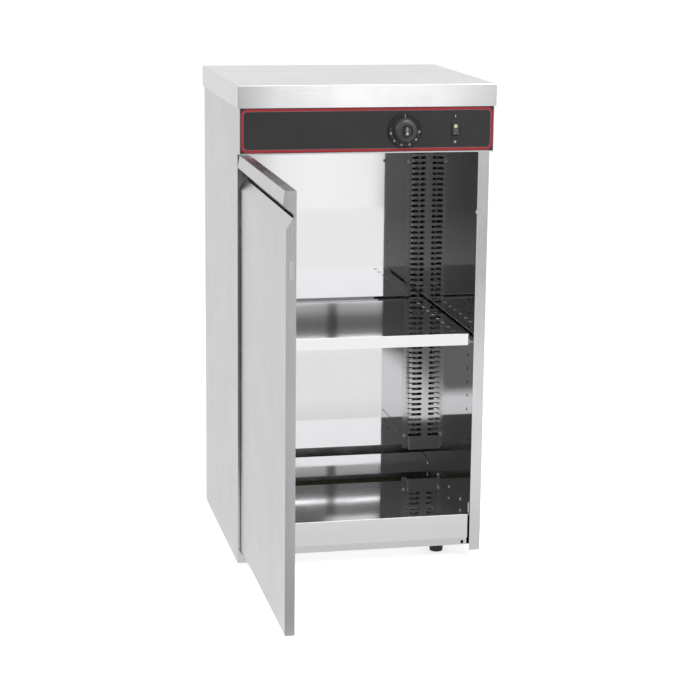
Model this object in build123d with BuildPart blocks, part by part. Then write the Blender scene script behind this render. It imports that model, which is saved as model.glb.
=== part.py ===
from build123d import *
import os
from math import cos, radians

# Plate warmer cabinet: a free-standing heated cabinet with one hinged door, an adjustable
# shelf and two slotted air ducts with heaters in its rear corners. Millimetres.
# X runs to the right, Y into the cabinet and Z up. The origin is on the floor, at mid-width,
# in the plane of the closed door's outer face. The door stands open by door_open degrees.

# ---- Driving dimensions: casing ----------------------------------------------------------
cabinet_width = 450        # top cover, side to side
cabinet_depth = 430        # top cover, front to back
cabinet_height = 860       # floor to the top cover's top face
sheet = 1.0                # sheet of panels and liners
cover_sheet = 1.2          # sheet of the top cover
cover_height = 38          # turned-down edge of the top cover
cover_bend = 1.5           # outer bend radius of the top cover
cover_front = 7            # top cover's front face, ahead of the door's face
cover_overhang = 3         # top cover past each side panel
cover_rear_overhang = 2    # top cover past the back panel
wall = 20                  # side wall, outer skin to inner face of the liner
rear_cavity = 38           # space between back liner and back panel
panel_bottom = 15          # lower edge of the side panels above the floor
rear_flange = 15           # width of the side panels' rear return
base_height = 25           # underside of the base pan above the floor
base_band = 15             # height of the base pan's front band
base_flange = 35           # height of the base pan's side and rear flanges
bend_share = 0.8           # outer bend radius of a thin sheet, as a share of the sheet
liner_overlap = 10         # side liners reaching down inside the base pan's flanges
back_margin = 3            # back panel short of the side panels' ends
panel_screw_low = 60       # lowest screw of the back panel above its lower edge
panel_screw_high = 30      # highest screw below the top cover
panel_screw_inset = 9.5    # screw line inside the side panel's face

# ---- Control fascia ----------------------------------------------------------------------
fascia_height = 79         # visible height below the top cover
fascia_setback = 2         # fascia behind the top cover's front face
overlay_thickness = 0.5
overlay_inset = 1.5        # overlay short of the fascia's side edges
overlay_lower_gap = 2.5    # bare metal below the overlay
overlay_hole_play = 1      # overlay's hole wider than the thermostat's neck
ceiling_step = 7           # chamber ceiling above the fascia's lower edge

# ---- Door and hinge ----------------------------------------------------------------------
door_thickness = 16
door_gap = 3               # closed door's inner face to the frame
door_side_inset = 3        # door edge inside the side panel's face
door_top_gap = 2
door_bottom = 41           # door's lower edge above the floor
door_fit = 0.1             # inner panel inside the outer skin
door_open = 90             # degrees that the door stands open
inner_panel_rim = 4.5      # depth of the inner panel's turned rim
lip_proud = 5              # handle lip's lower edge, ahead of the door's face
lip_lean = 2.7             # how much further back the lip's top edge lies
lip_height = 21
groove_apex_drop = 37      # deepest line of the finger groove below the door's top
groove_end_drop = 59       # where the groove meets the door's face
groove_depth = 13.3        # deepest line behind the door's face
door_bends = (0.6, 1.2, 0.6, 2.0, 3.0, 1.2, 0.6)    # outer bend radii, from the top of the back on
hinge_inset = 10.5         # hinge axis inside the side panel's face
hinge_pin_radius = 3
hinge_play = 0.05          # radial running clearance of pin in bush
bush_radius = 4.4
bush_length = 14
bush_collar = 1.5          # how far a collar is wider than its bush
hinge_plate = 2            # sheet of the hinge brackets
collar_play = 0.3          # axial play under and over the door
bush_seat = 2              # how much deeper a bush is than its pin
bracket_reach = 7          # lower bracket's tongue ahead of the hinge axis
bracket_back_gap = 3       # lower bracket's tongue short of the frame
bracket_corner = 5         # rounded front corners of the lower bracket
bracket_screw_inset = 8    # hinge screw inside the end of the base band
bracket_screw_rise = 5     # hinge screw above the base pan
band_inset = 1             # base band's ends short of the tray lip's
spare_hole_width = 5       # second hinge hole, for a door hung on the other side
spare_hole_height = 6
upper_plate_reach = 18     # upper hinge plate past the hinge axis
magnet_width = 8
magnet_depth = 9
filling_inset = 24         # door filling short of the door's free edge
filling_gap = 3            # door filling clear of the bushes and the finger groove

# ---- Chamber ------------------------------------------------------------------------------
tray_top = 82              # tray floor above the ground
tray_lip = 44              # height of the tray's turned-down front
tray_lip_inset = 3         # lip's ends short of the liners
tray_front = 4             # tray lip behind the frame
tray_upstand = 20
upstand_start = 6          # front end of the side upstands behind the tray's lip
rivet_rise = 11            # rivets above the tray floor
rivet_front = 60           # first rivet behind the tray's lip
rivet_rear = 50            # last rivet ahead of the rear upstand
air_slot = 18              # gap between the tray's rear upstand and the back liner
stud_radius = 3
stud_reach = 10            # stud standing out of the liner
stud_chamfer = 0.6
stud_collar = 1.5          # thickness of the stud's collar against the liner
stud_collar_radius = 5.4
stud_pitch = 25            # height step of the stud holes
stud_rows = 9
stud_first_z = 270
shelf_row = 5              # row that carries the shelf, counted from 0
stud_front_inset = 18.5    # front studs behind the shelf's front edge
stud_rear_gap = 44         # rear studs ahead of the duct covers
hole_play = 0.1            # radius that a clearance hole is larger
seat_gap = 0.3             # between the shelf and its studs
shelf_flange = 15
shelf_lip = 21
shelf_side_gap = 4
shelf_setback = 19         # shelf's front edge behind the frame
shelf_rear_gap = 6         # shelf's rear edge ahead of the duct covers
shelf_hole_radius = 4.5
shelf_hole_pitch = 37.2
shelf_hole_inset = 23      # hole row inside the shelf's side edge
shelf_hole_first = 24.5    # first hole behind the shelf's front edge

# ---- Rear corner ducts --------------------------------------------------------------------
duct_width = 32
duct_depth = 17
duct_flange = 9
duct_bottom = 112
slot_pitch = 10.3
slot_height = 5.2
slot_first_z = 142
slot_top_margin = 8
slot_front_land = 6.5      # plain strip between the slots and the side liner
slot_side_land = 6         # plain strip between the slots and the back liner
slot_past_bend = 10        # cut running on past the duct's bend
duct_screw_low = 25        # lowest screw above the duct cover's lower end
duct_screw_high = 71       # highest screw below the ceiling
heater_radius = 4
heater_bend = 8
heater_exit_z = 136        # height at which the heater leaves through the back liner
heater_play = 0.4
heater_head = 24           # heater end above the ceiling and behind the back liner
stud_end_radius = 2        # heater's terminal stud
stud_end_length = 10
clip_thickness = 1.5
clip_width = 14
clip_foot = 10
clip_count = 3
clip_low = 30              # lowest clip above the first slot
clip_high = 40             # highest clip below the ceiling
clip_lip = 1               # clip's front edge ahead of the heater
clip_play = 0.05
insulation_gap = 2         # insulation short of folds and liners around it
insulation_side_gap = 3    # side insulation clear of the stud ends
pocket_margin = 3          # pocket around a heater's rear end

# ---- Controls ------------------------------------------------------------------------------
knob_inset = 158.5         # knob's axis inside the right side panel's face
knob_rise = 38.5           # knob's axis above the fascia's lower edge
skirt_radius = 29.5
skirt_thickness = 2.5
skirt_bevel = 1            # skirt's back smaller than its front
skirt_edge = 0.8           # rounded edges of the skirt
knob_radius = 20.5
knob_depth = 12            # disc in front of the skirt
knob_rounding = 0.85       # share of the disc's front that its rounded edge takes
dish_radius = 11
dish_depth = 2.5
dish_slope = 1.5           # dish's floor smaller than its mouth
knob_draft = 1             # disc's front smaller than its foot
grip_taper = 4             # degrees
grip_width = 9.5
grip_length = 17
grip_height = 5
insert_radius = 2.2
insert_length = 2
insert_proud = 0.5         # insert ahead of the grip
shaft_play = 0.02          # knob's bore on the shaft
knob_gap = 0.8             # skirt to overlay
shaft_radius = 3
shaft_flat = 0.8
shaft_in_knob = 9
shaft_in_body = 12
shaft_clearance = 0.05     # radial, in the thermostat
thermostat_width = 46
thermostat_height = 40
thermostat_depth = 30
thermostat_neck = 4.6      # radius of the threaded neck through the fascia
thermostat_corner = 4
diaphragm_radius = 14      # round chamber on the thermostat's back
diaphragm_depth = 6
bulb_radius = 3
bulb_length = 85
capillary_radius = 0.9
sensor_rear = 191          # where the capillary passes the ceiling, ahead of the back liner
sensor_bend = 8
sensor_drop = 2            # between the ceiling and the sensor bulb
sensor_clip_length = 8
sensor_clip_tab = 16       # length of the clip's fixing tab
sensor_clip_spots = (0.2, 0.8)    # along the bulb
switch_inset = 69          # switch's middle inside the right side panel's face
switch_rise = 40           # switch's middle above the fascia's lower edge
rocker_width = 9
rocker_radius = 11.2       # pivot to the rocker's ends
rocker_tilt = 8            # degrees to each side
rocker_play = 0.3
rocker_back = 2            # rocker's back behind its pivot
rocker_proud = 4           # rocker's middle ahead of its pivot
pivot_depth = 1.4          # pivot behind the overlay's face
bezel_width = 14
bezel_height = 28
bezel_thickness = 1.5
bezel_corner = 1.5
bezel_edge = 0.6
bezel_lap_x = 1            # bezel past its opening, at each side
bezel_lap_z = 1.5          # bezel past its opening, above and below
switch_depth = 18
trunnion_radius = 1.2
trunnion_play = 0.05
lens_width = 7
lens_height = 6.5
lens_proud = 0.25
lens_drop = 1.8            # lower edge of the lens above the rocker's pivot
lens_depth = 1.2           # back of the lens behind the rocker's middle
lens_pocket = 5            # depth of the hole in front of the lens

# ---- Small parts ----------------------------------------------------------------------------
foot_radius = 13.5
foot_taper = 1.5
foot_side_inset = 67       # feet inside the side panels' faces
foot_front_inset = 51      # front feet behind the base pan's front
foot_rear_inset = 76       # rear feet ahead of the back panel
foot_recess_radius = 6.5
foot_recess = 9
foot_edges = (2, 0.8)      # rounded edges at the ground and under the cabinet
nut_play = 0.02
bolt_end = 2               # bolt standing out of its nut
back_screw_length = 3.5
bushing_lip = 2            # wall of the bushing's nose
screw_radius = 1.9
screw_head_radius = 3.6
screw_head = 1.6
head_taper = 20            # degrees, of every screw and rivet head
bolt_radius = 2.4
bolt_head_radius = 4.6
bolt_head = 3
nut_height = 4
nut_radius = 4.4
rivet_head_radius = 3
rivet_head = 1.0
rivet_length = 2.5
rivet_count = 4
plate_drop = 120.5         # middle of the door's edge plate below the door's top
catch_drop = 106           # middle of the magnet and its striker below the door's top
magnet_height = 12
edge_plate_width = 8
edge_plate_height = 29
edge_plate_thickness = 0.6
striker_width = 7
striker_height = 6
striker_lead = 3           # how far the striker stands into the opening
striker_clear = 0.5        # striker to the closed door
striker_corner = 1.5
edge_plate_corner = 1
vent_rise = 34             # middle of the control space's vents above the fascia's lower edge
vent_length = 40
vent_height = 4
vent_pitch = 10
vent_rows = 5
vent_column_pitch = 60
vent_columns = 3
cord_hole_radius = 9
cord_inset = 72            # cord hole inside the right side panel's face
cord_rise = 47             # cord hole above the fascia's lower edge
bushing_flange_radius = 12.5
bushing_flange = 3
bushing_neck = 11
bushing_nose = 5
cord_bore_radius = 3.6
terminal_length = 60
terminal_depth = 20
terminal_height = 16
terminal_rear = 70         # terminal block ahead of the back panel
terminal_ways = 5
terminal_groove = 1.5
terminal_groove_depth = 12

# ---- Places that follow from them ------------------------------------------------------------
body_x = cabinet_width / 2 - cover_overhang
liner_x = body_x - wall
cover_y = -cover_front
cover_back_y = cover_y + cabinet_depth
back_y = cover_back_y - cover_rear_overhang
flange_back_y = back_y - sheet
liner_back_y = flange_back_y - rear_cavity - sheet
panel_top = cabinet_height - cover_sheet
cover_bottom = cabinet_height - cover_height
fascia_bottom = cover_bottom - fascia_height
fascia_top = panel_top - 2 * sheet
fascia_y = cover_y + fascia_setback
overlay_y = fascia_y - overlay_thickness
ceiling_z = fascia_bottom + ceiling_step
frame_y = door_thickness + door_gap
frame_back_y = frame_y + sheet
tray_y = frame_y + tray_front
tray_floor = tray_top - sheet
tray_rear_y = liner_back_y - sheet
lip_bottom = tray_top - tray_lip
back_liner_bottom = tray_top + tray_upstand + air_slot
base_y = tray_y + sheet
liner_bottom = base_height + base_flange - liner_overlap
shelf_x = liner_x - shelf_side_gap
stud_z = stud_first_z + shelf_row * stud_pitch
shelf_top = stud_z + stud_radius + seat_gap + shelf_flange
duct_x = liner_x - duct_width
duct_y = liner_back_y - duct_depth
heater_x = liner_x - duct_width / 2
heater_y = liner_back_y - duct_depth / 2
hinge_x = -(body_x - hinge_inset)
hinge_y = (door_thickness - lip_proud) / 2
door_top = fascia_bottom - door_top_gap
door_edge = hinge_inset - door_side_inset
door_end = 2 * body_x - door_side_inset - hinge_inset
shelf_front = frame_y + shelf_setback
shelf_back = duct_y - shelf_rear_gap
stud_ys = (shelf_front + stud_front_inset, duct_y - stud_rear_gap)
sides = {"left": -1, "right": 1}
catch_z = door_top - catch_drop
edge_plate_z = door_top - plate_drop
striker_x = liner_x - striker_lead
magnet_mid = striker_x + striker_width / 2 - hinge_x
sensor_y = liner_back_y - sensor_rear
vent_z = fascia_bottom + vent_rise
cord_hole_x = body_x - cord_inset
cord_hole_z = fascia_bottom + cord_rise
foot_x = body_x - foot_side_inset
foot_ys = (base_y + foot_front_inset, back_y - foot_rear_inset)
knob_x = body_x - knob_inset
knob_z = fascia_bottom + knob_rise
switch_x = body_x - switch_inset
switch_z = fascia_bottom + switch_rise
knob_back_y = overlay_y - knob_gap
switch_opening = (bezel_width - 2 * bezel_lap_x, bezel_height - 2 * bezel_lap_z)
knob_face_y = knob_back_y - skirt_thickness - knob_depth
knob_edge = knob_rounding * (knob_radius - knob_draft - dish_radius)

# The door's own frame: its origin is on the hinge axis at floor level, its x runs along the
# door's width away from the hinge, and its y runs from the outer face to the inner face.
door_plane = Plane((hinge_x, hinge_y, 0)).rotated((0, 0, -door_open))
door_face = -hinge_y
door_back = door_thickness - hinge_y


def slab(x, y, z, mode=Mode.ADD):
    """Rectangular block between two limits on each axis of the part's frame."""
    with Locations(((x[0] + x[1]) / 2, (y[0] + y[1]) / 2, (z[0] + z[1]) / 2)):
        Box(x[1] - x[0], y[1] - y[0], z[1] - z[0], mode=mode)


def mirrored(x, side):
    """Limits of x for the right side, turned over for the left side."""
    return tuple(sorted((x[0] * side, x[1] * side)))


def folded(plane, points, length, thickness=sheet, side=Side.LEFT, mode=Mode.ADD):
    """Sheet folded along points, with its outer bends rounded, and length wide."""
    with BuildSketch(plane) as profile:
        with BuildLine():
            Polyline(*points)
            offset(amount=thickness, side=side)
        make_face()
    extrude(profile.sketch, amount=length, mode=mode)


def drill(plane, points, radius, depth, mode=Mode.SUBTRACT):
    """Round holes or pins at points of a plane, along its normal."""
    with BuildSketch(plane) as spots:
        with Locations(*points):
            Circle(radius)
    extrude(spots.sketch, amount=depth, mode=mode)


def fasteners(plane, points, head_radius, head, radius, length):
    """Pins along a plane's normal, each with a tapered head on the plane's back."""
    drill(plane, points, radius, length, mode=Mode.ADD)
    behind = Plane(origin=plane.origin, x_dir=plane.x_dir, z_dir=-plane.z_dir)
    with BuildSketch(behind) as heads:
        with Locations(*[(x, -y) for x, y in points]):
            Circle(head_radius)
    extrude(heads.sketch, amount=head, taper=head_taper)


def door_slab(x, y, z, mode=Mode.ADD):
    """Rectangular block between two limits on each axis of the door's frame."""
    with BuildSketch(door_plane.offset(z[0])) as outline:
        with Locations(((x[0] + x[1]) / 2, (y[0] + y[1]) / 2)):
            Rectangle(x[1] - x[0], y[1] - y[0])
    extrude(outline.sketch, amount=z[1] - z[0], mode=mode)


def save(piece, name):
    piece.part.label = name
    export_step(piece.part, f"parts/{name}.step")


os.makedirs("parts", exist_ok=True)
front = Plane(origin=(0, 0, 0), x_dir=(1, 0, 0), z_dir=(0, -1, 0))    # x right, y up, normal out
rear = Plane(origin=(0, 0, 0), x_dir=(1, 0, 0), z_dir=(0, 1, 0))      # x right, y down, normal in

# ==== Casing ====================================================================================
with BuildPart() as top_cover:
    slab((-cabinet_width / 2, cabinet_width / 2), (cover_y, cover_back_y), (cover_bottom, cabinet_height))
    rims = top_cover.edges().filter_by(Axis.Z) + top_cover.faces().sort_by(Axis.Z)[-1].edges()
    fillet(rims, cover_bend)
    offset(amount=-cover_sheet, openings=top_cover.faces().sort_by(Axis.Z)[0])
save(top_cover, "top_cover")

screw_zs = (panel_bottom + panel_screw_low, (panel_bottom + panel_top) / 2, cover_bottom - panel_screw_high)
screw_x = body_x - panel_screw_inset

for word, side in sides.items():
    with BuildPart() as side_panel:
        inner = body_x - sheet
        turn = [
            (side * liner_x, frame_back_y),
            (side * inner, frame_back_y),
            (side * inner, flange_back_y - sheet),
            (side * (body_x - rear_flange), flange_back_y - sheet),
        ]
        folded(Plane.XY.offset(panel_bottom), turn, panel_top - panel_bottom,
               side=Side.RIGHT if side > 0 else Side.LEFT)
        drill(rear.offset(flange_back_y - 3 * sheet), [(side * screw_x, -z) for z in screw_zs],
              screw_radius + hole_play, 4 * sheet)
    save(side_panel, f"{word}_side_panel")

with BuildPart() as back_panel:
    half = body_x - 2 * sheet
    slab((-half, half), (flange_back_y, back_y), (panel_bottom + back_margin, panel_top - back_margin))
    cut = rear.offset(flange_back_y - sheet)
    drill(cut, [(s * screw_x, -z) for s in (-1, 1) for z in screw_zs], screw_radius + hole_play, 3 * sheet)
    drill(cut, [(cord_hole_x, -cord_hole_z)], cord_hole_radius, 3 * sheet)
    with BuildSketch(cut):
        with Locations((0, -vent_z)):
            with GridLocations(vent_column_pitch, vent_pitch, vent_columns, vent_rows):
                SlotOverall(vent_length, vent_height)
    extrude(amount=3 * sheet, mode=Mode.SUBTRACT)
save(back_panel, "back_panel")

foot_points = [(s * foot_x, y) for s in (-1, 1) for y in foot_ys]
band_x = liner_x - tray_lip_inset - band_inset
bracket_x = band_x - bracket_screw_inset
band_screw_z = base_height + bracket_screw_rise

with BuildPart() as base_pan:
    inner = body_x - sheet
    rise = base_height + base_flange
    with BuildSketch(Plane.XY.offset(base_height)):
        with Locations((0, (base_y + flange_back_y - sheet) / 2)):
            Rectangle(2 * inner, flange_back_y - sheet - base_y)
    extrude(amount=base_flange)
    offset(amount=-sheet, openings=base_pan.faces().sort_by(Axis.Z)[-1])
    slab((-body_x, body_x), (base_y - sheet, base_y + sheet), (base_height + base_band, rise + 1),
         mode=Mode.SUBTRACT)
    for s in (-1, 1):
        slab(mirrored((band_x, body_x), s), (base_y - sheet, base_y + sheet),
             (base_height - 1, rise + 1), mode=Mode.SUBTRACT)
    drill(Plane.XY.offset(base_height - sheet), foot_points, bolt_radius + hole_play, 3 * sheet)
    cut = front.offset(-base_y - 2 * sheet)
    drill(cut, [(-bracket_x, band_screw_z)], screw_radius + hole_play, 4 * sheet)
    with BuildSketch(cut):
        with Locations((bracket_x, band_screw_z)):
            Rectangle(spare_hole_width, spare_hole_height)
    extrude(amount=4 * sheet, mode=Mode.SUBTRACT)
save(base_pan, "base_pan")

with BuildPart() as control_fascia:
    slab((-body_x, body_x), (fascia_y, frame_y), (fascia_bottom, fascia_top))
    fillet(control_fascia.faces().sort_by(Axis.Y)[0].edges(), sheet * bend_share)
    offset(amount=-sheet, openings=control_fascia.faces().sort_by(Axis.Y)[-1])
    drill(front.offset(-fascia_y - 2 * sheet), [(knob_x, knob_z)], thermostat_neck + hole_play, 4 * sheet)
    with BuildSketch(front.offset(-fascia_y - 2 * sheet)):
        with Locations((switch_x, switch_z)):
            Rectangle(*switch_opening)
    extrude(amount=4 * sheet, mode=Mode.SUBTRACT)
    drill(Plane.XY.offset(fascia_bottom - sheet), [(hinge_x, hinge_y)], hinge_pin_radius + hole_play,
          3 * sheet)
save(control_fascia, "control_fascia")

with BuildPart() as fascia_overlay:
    half = body_x - overlay_inset
    slab((-half, half), (overlay_y, fascia_y), (fascia_bottom + overlay_lower_gap, cover_bottom - seat_gap))
    drill(front.offset(-fascia_y - sheet), [(knob_x, knob_z)], thermostat_neck + overlay_hole_play, 3 * sheet)
    with BuildSketch(front.offset(-fascia_y - sheet)):
        with Locations((switch_x, switch_z)):
            Rectangle(*switch_opening)
    extrude(amount=3 * sheet, mode=Mode.SUBTRACT)
save(fascia_overlay, "fascia_overlay")

# ==== Chamber ===================================================================================
stud_hole_zs = [stud_first_z + k * stud_pitch for k in range(stud_rows)]
rivet_z = tray_top + rivet_rise
rivet_span = tray_rear_y - tray_y - rivet_front - rivet_rear
rivet_ys = [tray_y + rivet_front + k * rivet_span / (rivet_count - 1) for k in range(rivet_count)]

for word, side in sides.items():
    out = Plane(origin=(0, 0, 0), x_dir=(0, side, 0), z_dir=(side, 0, 0))
    with BuildPart() as liner:
        slab(mirrored((liner_x, liner_x + sheet), side), (frame_back_y, liner_back_y),
             (liner_bottom, ceiling_z + sheet))
        drill(out.offset(liner_x - sheet), [(side * y, z) for y in stud_ys for z in stud_hole_zs],
              stud_radius + hole_play, 3 * sheet)
        drill(out.offset(liner_x - sheet), [(side * y, rivet_z) for y in rivet_ys], screw_radius, 3 * sheet)
    save(liner, f"{word}_liner")

duct_screw_zs = (duct_bottom + duct_screw_low, ceiling_z - duct_screw_high)
duct_screw_x = duct_x - duct_flange / 2

with BuildPart() as back_liner:
    slab((-liner_x, liner_x), (liner_back_y, liner_back_y + sheet), (back_liner_bottom, ceiling_z + sheet))
    cut = rear.offset(liner_back_y - sheet)
    drill(cut, [(s * heater_x, -heater_exit_z) for s in (-1, 1)], heater_radius + heater_play, 3 * sheet)
    drill(cut, [(s * duct_screw_x, -z) for s in (-1, 1) for z in duct_screw_zs],
          screw_radius + hole_play, 3 * sheet)
save(back_liner, "back_liner")

with BuildPart() as ceiling_liner:
    slab((-liner_x, liner_x), (frame_back_y, liner_back_y), (ceiling_z, ceiling_z + sheet))
    cut = Plane.XY.offset(ceiling_z - sheet)
    drill(cut, [(s * heater_x, heater_y) for s in (-1, 1)], heater_radius + heater_play, 3 * sheet)
    drill(cut, [(knob_x, sensor_y)], capillary_radius + heater_play, 3 * sheet)
save(ceiling_liner, "ceiling_liner")

with BuildPart() as floor_tray:
    slab((-liner_x, liner_x), (tray_y + sheet, tray_rear_y + sheet), (tray_floor, tray_top + tray_upstand))
    offset(amount=-sheet, openings=floor_tray.faces().sort_by(Axis.Z)[-1])
    slab((-liner_x, liner_x), (tray_y, tray_y + upstand_start), (tray_top, tray_top + tray_upstand + 1),
         mode=Mode.SUBTRACT)
    lip_x = liner_x - tray_lip_inset
    folded(Plane.YZ.offset(-lip_x), [(tray_y + sheet, lip_bottom), (tray_y + sheet, tray_floor),
                                     (tray_y + upstand_start, tray_floor)], 2 * lip_x)
    for side in (-1, 1):
        out = Plane(origin=(0, 0, 0), x_dir=(0, side, 0), z_dir=(side, 0, 0))
        drill(out.offset(liner_x - 2 * sheet), [(side * y, rivet_z) for y in rivet_ys], screw_radius,
              3 * sheet)
save(floor_tray, "floor_tray")

with BuildPart() as shelf:
    slab((-shelf_x, shelf_x), (shelf_front, shelf_back), (shelf_top - shelf_lip, shelf_top))
    fillet(shelf.faces().sort_by(Axis.Z)[-1].edges(), sheet * bend_share)
    offset(amount=-sheet, openings=shelf.faces().sort_by(Axis.Z)[0])
    slab((-shelf_x, shelf_x), (shelf_front + 2 * sheet, shelf_back),
         (shelf_top - shelf_lip - 1, shelf_top - shelf_flange), mode=Mode.SUBTRACT)
    holes_y = shelf_front + shelf_hole_first
    hole_count = int((shelf_back - shelf_front - 2 * shelf_hole_first) / shelf_hole_pitch) + 1
    places = [(s * (shelf_x - shelf_hole_inset), holes_y + k * shelf_hole_pitch)
              for s in (-1, 1) for k in range(hole_count)]
    drill(Plane.XY.offset(shelf_top - 2 * sheet), places, shelf_hole_radius, 3 * sheet)
save(shelf, "shelf")

with BuildPart() as shelf_studs:
    for side in (-1, 1):
        for y in stud_ys:
            with BuildSketch(Plane.XZ.offset(-y)):
                with BuildLine():
                    tip = liner_x - stud_reach
                    collar_x = liner_x - stud_collar
                    Polyline(
                        (side * tip, stud_z),
                        (side * tip, stud_z + stud_radius - stud_chamfer),
                        (side * (tip + stud_chamfer), stud_z + stud_radius),
                        (side * collar_x, stud_z + stud_radius),
                        (side * collar_x, stud_z + stud_collar_radius),
                        (side * liner_x, stud_z + stud_collar_radius),
                        (side * liner_x, stud_z + stud_radius),
                        (side * (liner_x + 2 * sheet), stud_z + stud_radius),
                        (side * (liner_x + 2 * sheet), stud_z),
                        close=True,
                    )
                make_face()
            revolve(axis=Axis((0, y, stud_z), (1, 0, 0)))
save(shelf_studs, "shelf_studs")

with BuildPart() as tray_rivets:
    for side in (-1, 1):
        out = Plane(origin=(0, 0, 0), x_dir=(0, side, 0), z_dir=(side, 0, 0))
        fasteners(out.offset(liner_x - sheet), [(side * y, rivet_z) for y in rivet_ys],
                  rivet_head_radius, rivet_head, screw_radius, rivet_length)
save(tray_rivets, "tray_rivets")

# ==== Rear corner ducts ==========================================================================
slot_count = int((ceiling_z - slot_top_margin - slot_first_z) / slot_pitch) + 1
slot_mid_z = slot_first_z + (slot_count - 1) * slot_pitch / 2
clip_span = ceiling_z - clip_high - slot_first_z - clip_low
clip_zs = [slot_first_z + clip_low + k * clip_span / (clip_count - 1) for k in range(clip_count)]

for word, side in sides.items():
    with BuildPart() as duct_cover:
        turn = [
            (side * (duct_x - duct_flange), liner_back_y),
            (side * (duct_x + sheet), liner_back_y),
            (side * (duct_x + sheet), duct_y + sheet),
            (side * liner_x, duct_y + sheet),
        ]
        folded(Plane.XY.offset(duct_bottom), turn, ceiling_z - duct_bottom,
               side=Side.RIGHT if side > 0 else Side.LEFT)
        reach = duct_width - slot_front_land + slot_past_bend
        with BuildSketch(front.offset(-duct_y - 2 * sheet)):
            with Locations((side * (liner_x - slot_front_land - reach / 2), slot_mid_z)):
                with GridLocations(0, slot_pitch, 1, slot_count):
                    SlotOverall(reach, slot_height)
        extrude(amount=4 * sheet, mode=Mode.SUBTRACT)
        reach = duct_depth - slot_side_land + slot_past_bend
        with BuildSketch(Plane.YZ.offset(side * (duct_x + sheet / 2) - 2 * sheet)):
            with Locations((liner_back_y - slot_side_land - reach / 2, slot_mid_z)):
                with GridLocations(0, slot_pitch, 1, slot_count):
                    SlotOverall(reach, slot_height)
        extrude(amount=4 * sheet, mode=Mode.SUBTRACT)
        drill(rear.offset(liner_back_y - 2 * sheet), [(side * duct_screw_x, -z) for z in duct_screw_zs],
              screw_radius + hole_play, 3 * sheet)
    save(duct_cover, f"duct_cover_{word}")

    with BuildPart() as heater:
        top = ceiling_z + heater_head
        with BuildLine() as route:
            FilletPolyline(
                (side * heater_x, heater_y, top),
                (side * heater_x, heater_y, heater_exit_z),
                (side * heater_x, liner_back_y + heater_head, heater_exit_z),
                radius=heater_bend,
            )
        with BuildSketch(Plane.XY.offset(top)):
            with Locations((side * heater_x, heater_y)):
                Circle(heater_radius)
        sweep(path=route.line)
        drill(Plane.XY.offset(top), [(side * heater_x, heater_y)], stud_end_radius, stud_end_length, Mode.ADD)
        drill(rear.offset(liner_back_y + heater_head), [(side * heater_x, -heater_exit_z)], stud_end_radius,
              stud_end_length, Mode.ADD)
    save(heater, f"heater_{word}")

with BuildPart() as heater_clips:
    for side in (-1, 1):
        x = (side * heater_x - clip_width / 2, side * heater_x + clip_width / 2)
        for z in clip_zs:
            slab(x, (heater_y - heater_radius - clip_lip, liner_back_y), (z, z + clip_thickness))
            slab(x, (liner_back_y - clip_thickness, liner_back_y), (z, z + clip_foot))
            drill(Plane.XY.offset(z - sheet), [(side * heater_x, heater_y)], heater_radius + clip_play,
                  clip_thickness + 2 * sheet)
save(heater_clips, "heater_clips")

with BuildPart() as duct_screws:
    spots = [(s * duct_screw_x, -z) for s in (-1, 1) for z in duct_screw_zs]
    fasteners(rear.offset(liner_back_y - sheet), spots, screw_head_radius, screw_head, screw_radius,
              6 * sheet)
save(duct_screws, "duct_screws")

# ==== Insulation between the skins ==============================================================
for word, side in sides.items():
    with BuildPart() as slabs:
        slab(mirrored((liner_x + sheet + insulation_side_gap, body_x - sheet), side),
             (frame_back_y + insulation_gap, flange_back_y - sheet - insulation_gap),
             (base_height + base_flange + insulation_gap, ceiling_z))
    save(slabs, f"insulation_{word}")

with BuildPart() as insulation_back:
    slab((-liner_x, liner_x), (liner_back_y + sheet, flange_back_y),
         (back_liner_bottom + insulation_gap, ceiling_z))
    for side in (-1, 1):
        pocket = clip_width / 2 + pocket_margin
        slab((side * heater_x - pocket, side * heater_x + pocket),
             (liner_back_y, flange_back_y - insulation_gap),
             (back_liner_bottom, heater_exit_z + pocket), mode=Mode.SUBTRACT)
        drill(rear.offset(liner_back_y), [(side * duct_screw_x, -z) for z in duct_screw_zs],
              screw_radius + insulation_gap, 8 * sheet)
save(insulation_back, "insulation_back")

# ==== Controls ==================================================================================
with BuildPart() as thermostat_body:
    back = fascia_y + sheet
    slab((knob_x - thermostat_width / 2, knob_x + thermostat_width / 2), (back, back + thermostat_depth),
         (knob_z - thermostat_height / 2, knob_z + thermostat_height / 2))
    fillet(thermostat_body.edges().filter_by(Axis.Y), thermostat_corner)
    drill(rear.offset(back + thermostat_depth), [(knob_x, -knob_z)], diaphragm_radius, diaphragm_depth,
          Mode.ADD)
    drill(rear.offset(overlay_y), [(knob_x, -knob_z)], thermostat_neck, back - overlay_y, Mode.ADD)
    drill(rear.offset(overlay_y), [(knob_x, -knob_z)], shaft_radius + shaft_clearance, shaft_in_body + 1)
save(thermostat_body, "thermostat_body")

with BuildPart() as thermostat_shaft:
    rear_end = overlay_y + shaft_in_body
    front_end = knob_back_y - shaft_in_knob
    drill(rear.offset(front_end), [(knob_x, -knob_z)], shaft_radius, rear_end - front_end, Mode.ADD)
    slab((knob_x - shaft_radius, knob_x + shaft_radius), (front_end, knob_back_y),
         (knob_z + shaft_radius - shaft_flat, knob_z + shaft_radius), mode=Mode.SUBTRACT)
save(thermostat_shaft, "thermostat_shaft")

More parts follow.
